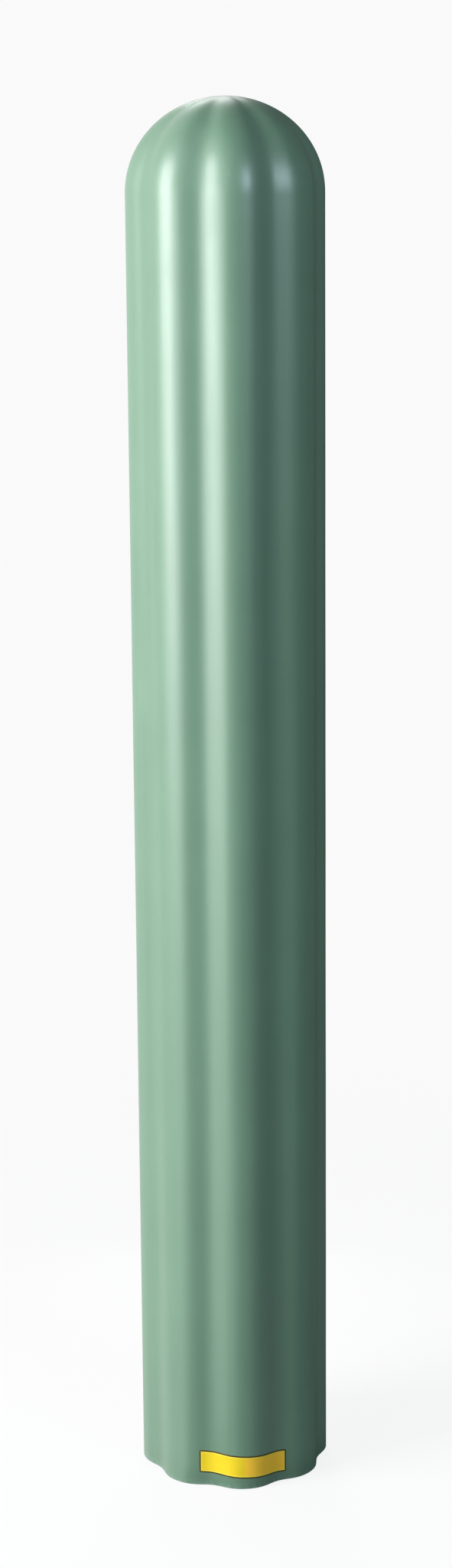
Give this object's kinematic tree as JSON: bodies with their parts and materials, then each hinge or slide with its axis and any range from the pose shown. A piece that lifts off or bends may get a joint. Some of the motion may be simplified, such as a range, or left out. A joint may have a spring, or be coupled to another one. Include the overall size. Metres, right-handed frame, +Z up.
{
  "type": "bollard cover sleeve",
  "caption": "Tall fluted plastic sleeve with a domed top and an open base, lined with foam strips, that slips over a round steel bollard post to cover and protect it.",
  "frame": {"origin": "centre of the base rim, on the surface that the sleeve stands on", "axes": "+Z up along the sleeve's axis to the top of the dome, -Y out through the front crest that carries the label"},
  "size_m": [0.197, 0.1973, 1.422],
  "materials": {
    "sleeve": "semi-gloss green polyethylene",
    "label": "plain yellow film",
    "tape": "double-sided mounting tape",
    "foam": "closed-cell foam"
  },
  "bodies": {
    "root": {"sleeve_shell": "sleeve", "label": "label", "mounting_tape_lower_1": "tape", "mounting_tape_lower_2": "tape", "mounting_tape_lower_3": "tape", "mounting_tape_lower_4": "tape", "mounting_tape_upper_1": "tape", "mounting_tape_upper_2": "tape", "mounting_tape_upper_3": "tape", "mounting_tape_upper_4": "tape", "foam_strip_lower_1": "foam", "foam_strip_lower_2": "foam", "foam_strip_lower_3": "foam", "foam_strip_lower_4": "foam", "foam_strip_upper_1": "foam", "foam_strip_upper_2": "foam", "foam_strip_upper_3": "foam", "foam_strip_upper_4": "foam"}
  },
  "joints": []
}
